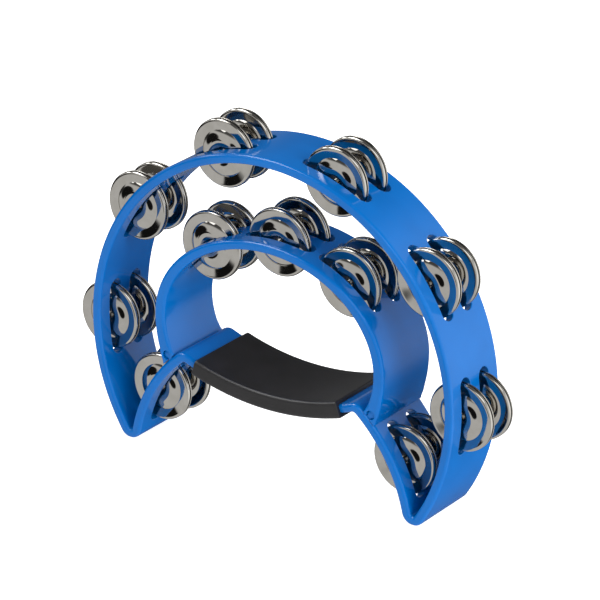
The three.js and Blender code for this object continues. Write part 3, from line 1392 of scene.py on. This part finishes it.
@dataclass(frozen=True)
class Jingles(SubAssembly):
    """The pairs of cupped discs in every slot: sheet with a raised ring round a sunk hub.

    The heights are those of the under side over the plane that lies half a gap from the middle
    of the pair. The lip's drop is how far the rim's edge hangs under that plane. A pair hangs
    loosely, and the nods are the degrees that its top leans to the front.
    """

    drawing: FrameDrawing
    slots: Slots
    stations: tuple[Station, ...] = ()
    radius: float = 21.75
    hole: float = 1.95
    sheet: float = 0.8
    rim: float = 1.6
    lip_width: float = 1.6
    lip_drop: float = 0.15
    lip_edge: float = 0.3
    cup: float = 14.9
    crest: float = 8.2
    crest_height: float = 2.2
    crest_round: float = 0.3
    foot_steepness: float = 0.35
    hub_height: float = 1.15
    groove_height: float = -0.1
    gap: float = 1.4
    segments: int = 96
    zone_points: tuple[int, int, int] = (10, 14, 10)
    lip_segments: int = 8
    eye_segments: int = 6
    nods: tuple[tuple[str, float, float], ...] = (
        ("rim_1", -0.6, 0.7),
        ("rim_2", -0.6, 1.0),
        ("rim_3", 2.0, -0.8),
        ("rim_4", 2.2, 0.6),
        ("rim_5", 0.8, -0.7),
        ("rim_6", 0.5, 0.9),
        ("leg_left", 0.8, -0.9),
        ("leg_right", 0.5, 0.8),
        ("arch_1", -0.8, 0.9),
        ("arch_2", 3.0, -0.5),
        ("arch_3", 1.5, 1.1),
    )
    finish: BrightNickel = BrightNickel()

    def nod(self, station: Station, row: Row) -> float:
        """Looks up how far a pair nods, in degrees."""
        front, rear = next(pair[1:] for pair in self.nods if pair[0] == station.name)
        return front if row is Row.FRONT else rear

    def profile(self) -> Array:
        """Draws the closed section of a disc: radius and height over the plane of its rim.

        With a share u that runs over each zone from the middle outwards, the sheet's under side
        rises by sin(u quarter turn) from the hub to the crest of the ring, and falls by
        sqrt(u^2 + c^2) - c + k u^5 to the groove, which is a cone with a round crest and a
        steeper foot. It rises again straight to the lip, so that the flange is dished, and the
        lip turns down over a quarter of an ellipse. The dome side is one sheet higher. The rim's
        edge and the hole's are rounded.

        Returns:
            Points of shape (n, 2), round the section.
        """
        eye_round = self.sheet / 2
        lip_start = self.radius - self.lip_width
        flange_height = self.rim - self.sheet
        shares = [np.linspace(0, 1, count) for count in self.zone_points]
        swell = np.sin(shares[0] * math.pi / 2)
        hub = self.hub_height + (self.crest_height - self.hub_height) * swell
        cone = np.hypot(shares[1], self.crest_round) - self.crest_round
        fall = cone + self.foot_steepness * shares[1] ** 5
        dome = self.crest_height + (self.groove_height - self.crest_height) * fall / fall[-1]
        flange = self.groove_height + (flange_height - self.groove_height) * shares[2]
        radius = np.concatenate([
            self.hole + eye_round + (self.crest - self.hole - eye_round) * shares[0],
            self.crest + (self.cup - self.crest) * shares[1][1:],
            self.cup + (lip_start - self.cup) * shares[2][1:],
        ])
        low = np.concatenate([hub, dome[1:], flange[1:]])
        bend = np.linspace(0, math.pi / 2, self.lip_segments + 1)
        foot = self.lip_edge - self.lip_drop
        turned, upright = np.sin(bend), np.cos(bend)
        under_width = self.lip_width - self.sheet
        lip_under = np.stack([
            lip_start + under_width * turned, foot + (flange_height - foot) * upright], -1)
        lip_over = np.stack([
            lip_start + self.lip_width * upright, foot + (self.rim - foot) * turned], -1)
        inward, down = self.lip_edge * (1 - upright[::2]), self.lip_edge * turned[::2]
        inner_edge = np.stack([self.radius - self.sheet + inward, foot - down], -1)
        outer_edge = np.stack([self.radius - inward[::-1], foot - down[::-1]], -1)
        turn = np.linspace(0, math.pi, self.eye_segments + 1)[1:-1]
        eye_radius = self.hole + eye_round * (1 - np.sin(turn))
        eye = np.stack([eye_radius, low[0] + eye_round * (1 + np.cos(turn))], -1)
        under = np.stack([radius, low], -1)
        over = np.stack([radius, low + self.sheet], -1)
        return np.concatenate([
            under, lip_under[1:], inner_edge[1:], outer_edge, lip_over[1:-1], over[::-1], eye])

    def disc(self, station: Station, row: Row, face: Face, spin: float) -> bpy.types.Object:
        """Builds one disc by carrying the profile round its axis.

        A point at an angle a lies at (radius cos a, height, radius sin a) from the middle of the
        pair. A pair hangs loosely, so it nods about the X axis, both discs by the same angle.

        Args:
            station: the station whose pin the disc hangs on.
            row: the row of slots.
            face: which way the dome faces.
            spin: the turn of the first point, so that no two discs show the same marks.

        Returns:
            The object.
        """
        profile = self.profile()
        ring = all_round(self.segments, spin)
        height = face.value * (self.gap / 2 + profile[:, 1:])
        x = station.x + profile[:, :1] * ring[:, 0]
        rise = profile[:, :1] * ring[:, 1]
        nod = math.radians(self.nod(station, row))
        depth = row.value * self.slots.pitch / 2 + height * math.cos(nod) - rise * math.sin(nod)
        z = station.z + rise * math.cos(nod) + height * math.sin(nod)
        shell = Shell(f"disc_{station.name}_{row.name.lower()}_{face.name.lower()}")
        shell.add(np.stack([x, z], -1), depth, close_rows=True, close_columns=True)
        return shell.build(self.drawing.lift, crease=28.0)

    def build(self) -> list[bpy.types.Object]:
        """Builds the two pairs of every station, each disc spun on by the golden angle.

        Returns:
            The discs.
        """
        places = [
            (station, row, face) for station in self.stations for row in Row for face in Face]
        golden = math.pi * (3 - math.sqrt(5))
        return [self.disc(*place, i * golden) for i, place in enumerate(places)]

    def dress(self, piece: bpy.types.Object) -> None:
        """Dresses a disc in nickel. Its node and its body are named after its place."""
        node = piece.name.replace("disc_", "jingle_")
        fit(piece, self.finish.material(), node, node)


def direction(azimuth: float, elevation: float) -> Vector:
    """Gives a direction from degrees. The azimuth is 0 to the front and grows towards +X."""
    a, e = math.radians(azimuth), math.radians(elevation)
    return Vector((math.sin(a) * math.cos(e), -math.cos(a) * math.cos(e), math.sin(e)))


@dataclass(frozen=True)
class Softbox:
    """A soft studio light: where it hangs, what it is turned to, its size and its power."""

    name: str
    place: tuple[float, float, float]
    aim: tuple[float, float, float]
    width: float
    height: float
    watts: float
    mirrored: bool = True

    def build(self) -> None:
        """Hangs the light. One that isn't mirrored doesn't show in gloss."""
        data = bpy.data.lights.new(self.name, "AREA")
        data.shape = "RECTANGLE"
        data.size = self.width
        data.size_y = self.height
        data.energy = self.watts
        lamp = bpy.data.objects.new(self.name, data)
        lamp.location = self.place
        way = Vector(self.aim) - Vector(self.place)
        lamp.rotation_euler = way.to_track_quat("-Z", "Y").to_euler()
        lamp.visible_glossy = self.mirrored
        bpy.context.scene.collection.objects.link(lamp)


@dataclass(frozen=True)
class Card:
    """A card of the studio that only gloss sees: its middle, its half sizes and its light.

    Angles are in degrees. The softness is the share of the size over which its edge fades.
    """

    azimuth: float
    elevation: float
    half_width: float
    half_height: float
    glow: float
    softness: float = 0.2

    def lay_over(
        self,
        tree: bpy.types.NodeTree,
        way: bpy.types.NodeSocket,
        under: bpy.types.NodeSocket | float,
    ) -> bpy.types.NodeSocket:
        """Mixes the card over what lies behind it.

        Args:
            tree: the world's tree.
            way: the direction that is looked in.
            under: the light behind the card, as a socket or a value.

        Returns:
            The light with the card in front.
        """
        width, height = (math.sin(math.radians(v)) for v in (self.half_width, self.half_height))
        frame_of_card = {
            "Location": direction(self.azimuth, self.elevation),
            "Rotation": (0.0, 0.0, math.radians(self.azimuth)),
            "Scale": (width, 1.0, height),
        }
        local = add_node(
            tree, "ShaderNodeMapping", frame_of_card, {"Vector": way}, vector_type="TEXTURE")
        away = add_node(
            tree, "ShaderNodeVectorMath", links={0: local.outputs["Vector"]}, operation="LENGTH")
        share = add_node(
            tree,
            "ShaderNodeMapRange",
            {"From Min": 1 + self.softness, "From Max": 1 - self.softness},
            {"Value": away.outputs["Value"]},
            interpolation_type="SMOOTHSTEP",
        )
        mix = add_node(
            tree, "ShaderNodeMix", {"A": 0.0, "B": self.glow}, {"Factor": share.outputs["Result"]})
        if isinstance(under, float):
            mix.inputs["A"].default_value = under
        else:
            tree.links.new(under, mix.inputs["A"])
        return mix.outputs["Result"]


@dataclass(frozen=True)
class Viewpoint:
    """The camera, from a fit to the photograph's outlines: degrees, and metres but for the lens."""

    azimuth: float = 35.8
    elevation: float = 23.12
    roll: float = -0.22
    distance: float = 2.2174
    aim: tuple[float, float, float] = (0.0071, -0.0001, 0.1118)
    lens_mm: float = 223.1
    film_mm: float = 36.0
    far: float = 50.0

    def build(self) -> None:
        """Places the camera and makes it the scene's."""
        a, r = math.radians(self.azimuth), math.radians(self.roll)
        back = direction(self.azimuth, self.elevation)
        level = Vector((math.cos(a), math.sin(a), 0.0))
        upright = back.cross(level)
        right = level * math.cos(r) + upright * math.sin(r)
        up = upright * math.cos(r) - level * math.sin(r)
        turn = Matrix((right, up, back)).transposed().to_4x4()
        data = bpy.data.cameras.new("camera")
        data.lens = self.lens_mm
        data.sensor_width = self.film_mm
        data.clip_end = self.far
        camera = bpy.data.objects.new("camera", data)
        camera.matrix_world = Matrix.Translation(Vector(self.aim) + back * self.distance) @ turn
        bpy.context.scene.collection.objects.link(camera)
        bpy.context.scene.camera = camera


@dataclass(frozen=True)
class Studio:
    """The plain pale floor, the soft light, the cards that the gloss reflects and the camera.

    The floor glows by floor_glow on the object and by seen_glow to the camera, which keeps the
    shadow on it as faint as the photograph's cut-out ground asks. Later cards lie over earlier
    ones: first the dim ceiling and walls, which deepen the blue and draw the dark parts of the
    rims, next two bright walls on the right for the rims' light flanks, then four black screens,
    which make the dark patches on the jingles' faces, and last three lamps for the thin light
    lines along the edges.
    """

    viewpoint: Viewpoint = Viewpoint()
    floor_half: float = 4.0
    floor_colour: str = "#E4E4E4"
    floor_dull: float = 0.9
    floor_glow: float = 0.42
    seen_glow: float = 0.82
    lights: tuple[Softbox, ...] = (
        Softbox("key", (-1.1, -0.9, 1.9), (0.0, 0.0, 0.08), 1.3, 1.3, 12.0),
        Softbox("fill", (2.0, -0.5, 0.9), (0.0, 0.0, 0.1), 1.0, 1.4, 34.0, mirrored=False),
        Softbox("rear", (0.4, 1.8, 1.5), (0.0, 0.0, 0.1), 1.6, 1.0, 6.0, mirrored=False),
    )
    even_glow: float = 0.95
    room_glow: float = 0.75
    cards: tuple[Card, ...] = (
        Card(0.0, 90.0, 80.0, 40.0, 0.2, 0.5),
        Card(-45.0, 43.0, 72.0, 20.0, 0.1, 0.25),
        Card(-160.0, 35.0, 55.0, 40.0, 0.12, 0.5),
        Card(168.0, -38.0, 28.0, 14.0, 0.1, 0.4),
        Card(-150.0, -20.0, 50.0, 25.0, 0.18, 0.5),
        Card(143.0, 12.0, 26.0, 26.0, 1.2, 0.5),
        Card(95.0, -8.0, 35.0, 35.0, 1.5, 0.4),
        Card(-57.0, -3.0, 19.0, 13.0, 0.01, 0.12),
        Card(-95.0, -2.0, 24.0, 12.0, 0.03, 0.3),
        Card(-41.0, -12.0, 7.0, 7.0, 0.01, 0.12),
        Card(-5.0, -10.0, 13.0, 10.0, 0.01, 0.12),
        Card(-60.0, 49.0, 16.0, 6.5, 8.0, 0.45),
        Card(36.0, 38.0, 22.0, 8.0, 2.4, 0.3),
        Card(-78.0, 30.0, 14.0, 3.5, 6.0, 0.4),
    )

    def floor(self) -> None:
        """Lays the floor, which gloss doesn't see."""
        half = self.floor_half
        mesh = bpy.data.meshes.new("floor")
        corners = [(-half, -half, 0.0), (half, -half, 0.0), (half, half, 0.0), (-half, half, 0.0)]
        mesh.from_pydata(corners, [], [(0, 1, 2, 3)])
        paper = Coat("floor_paper")
        seen = add_node(paper.tree, "ShaderNodeLightPath").outputs["Is Camera Ray"]
        glow = paper.spread(seen, (0.0, 1.0), (self.floor_glow, self.seen_glow))
        looks = {"Base Color": linear(self.floor_colour), "Emission Color": linear("#FFFFFF")}
        looks["Roughness"] = self.floor_dull
        mesh.materials.append(paper.finish(looks, {"Emission Strength": glow}))
        floor = bpy.data.objects.new("floor", mesh)
        floor.visible_glossy = False
        bpy.context.scene.collection.objects.link(floor)

    def room(self) -> None:
        """Lights the room evenly, and shows the cards to gloss alone."""
        world = bpy.data.worlds.new("studio")
        bpy.context.scene.world = world
        world.use_nodes = True
        tree = world.node_tree
        tree.nodes.clear()
        white = {"Color": linear("#FFFFFF")}
        even = add_node(tree, "ShaderNodeBackground", {**white, "Strength": self.even_glow})
        way = add_node(tree, "ShaderNodeTexCoord").outputs["Generated"]
        light: bpy.types.NodeSocket | float = self.room_glow
        for card in self.cards:
            light = card.lay_over(tree, way, light)
        shown = add_node(tree, "ShaderNodeBackground", white, {"Strength": light})
        ray = add_node(tree, "ShaderNodeLightPath")
        both = add_node(
            tree,
            "ShaderNodeMixShader",
            links={
                0: ray.outputs["Is Glossy Ray"],
                1: even.outputs["Background"],
                2: shown.outputs["Background"],
            },
        )
        add_node(tree, "ShaderNodeOutputWorld", links={"Surface": both.outputs["Shader"]})

    def build(self) -> None:
        """Sets the whole studio up."""
        self.floor()
        self.room()
        for light in self.lights:
            light.build()
        self.viewpoint.build()
        bpy.context.scene.view_settings.view_transform = "Standard"


def main() -> None:
    """Builds the tambourine's sub-assemblies in order, and then the studio."""
    logging.basicConfig(level=logging.INFO, format="%(name)s: %(message)s")
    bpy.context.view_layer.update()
    drawing, wall, slots = FrameDrawing(), WallSizes(), Slots()
    holes = Pins(drawing, wall)
    arch = InnerArch(drawing, wall, slots, holes)
    legs = (drawing.leg_station(side) for side in (-1, 1))
    stations = (*drawing.hoop_stations(), *legs, *arch.stations())
    parts = (
        Frame(drawing, wall, slots, holes),
        arch,
        Grip(drawing, wall),
        Pins(drawing, wall, stations),
        Jingles(drawing, slots, stations),
    )
    for part in parts:
        for piece in part.make():
            log.info("%s: %s is in place", type(part).__name__, piece.name)
    Studio().build()


if __name__ == "__main__":
    main()
